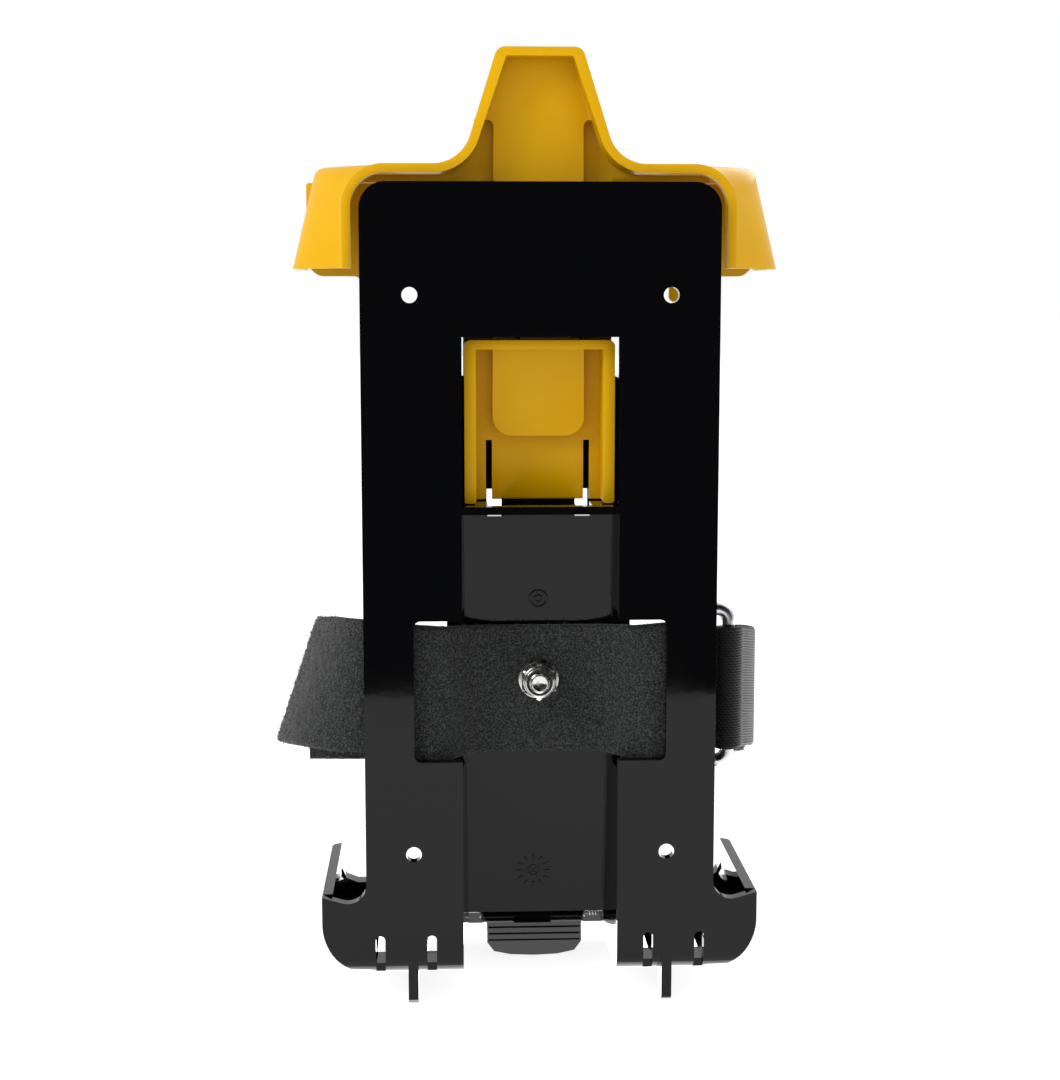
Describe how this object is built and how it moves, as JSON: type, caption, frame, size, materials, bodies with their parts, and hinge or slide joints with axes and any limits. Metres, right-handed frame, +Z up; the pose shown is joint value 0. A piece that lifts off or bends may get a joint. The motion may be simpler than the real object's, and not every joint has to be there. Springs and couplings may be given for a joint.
{
  "type": "data collector cradle",
  "caption": "Black moulded cradle for a handheld field data collector, with a sprung yellow head that slides up, cups for its foot, and a hook-and-loop strap.",
  "frame": {"origin": "centre of the four mounting holes in the back face", "axes": "+Z up towards the sliding head, -Y out of the back face towards the pole or bracket that holds it, +Y towards the data collector, +X to the right seen from behind"},
  "size_m": [0.1453, 0.0704, 0.2764],
  "materials": {
    "black_abs": "glossy black moulded ABS, polished tool finish",
    "yellow_abs": "satin yellow moulded ABS, fine spark-eroded grain",
    "zinc_steel": "zinc-plated steel",
    "spring_steel": "bright drawn steel",
    "stainless": "stainless steel, turned and pressed",
    "nylon": "natural nylon",
    "pad_rubber": "soft black rubber",
    "pad_foam": "closed-cell black foam",
    "loop_fabric": "black brushed-loop strap",
    "strap_webbing": "black herringbone woven webbing",
    "hook_fabric": "black moulded-hook tape"
  },
  "bodies": {
    "cradle": {"cradle_body": "black_abs", "front_cover": "black_abs", "cover_screws": "zinc_steel", "rest_pad": "pad_foam", "head_spring_left": "spring_steel", "head_spring_right": "spring_steel", "spring_guide_pins": "spring_steel", "lever_pin": "spring_steel", "lever_spring": "spring_steel", "cup_liner_left": "pad_rubber", "cup_liner_right": "pad_rubber", "strap_band": "loop_fabric", "strap_tail": "strap_webbing", "hook_patch": "hook_fabric", "strap_bolt": "stainless", "nut_washer": "stainless", "lock_nut": "stainless", "nut_collar": "nylon"},
    "head": {"head_slider": "yellow_abs", "head_liner": "pad_rubber"},
    "lever": {"release_lever": "black_abs"},
    "ring": {"strap_ring": "stainless"}
  },
  "joints": [
    {"name": "head_slide", "type": "slide", "parent": "cradle", "child": "head", "axis": [0, 0, 1], "range_m": [0, 0.02], "stiffness_N_per_m": 900, "springref_m": -0.012, "deforming": ["head_spring_left", "head_spring_right"]},
    {"name": "lever_hinge", "type": "hinge", "parent": "cradle", "child": "lever", "pos_m": [0, 0.0525, -0.1155], "axis": [-1, 0, 0], "range_deg": [0, 10], "stiffness_Nm_per_rad": 0.5, "springref_deg": -11.46},
    {"name": "ring_swing", "type": "hinge", "parent": "cradle", "child": "ring", "pos_m": [0.045, 0.017, -0.03485], "axis": [0, 0, 1], "range_deg": [-2, 2]}
  ]
}
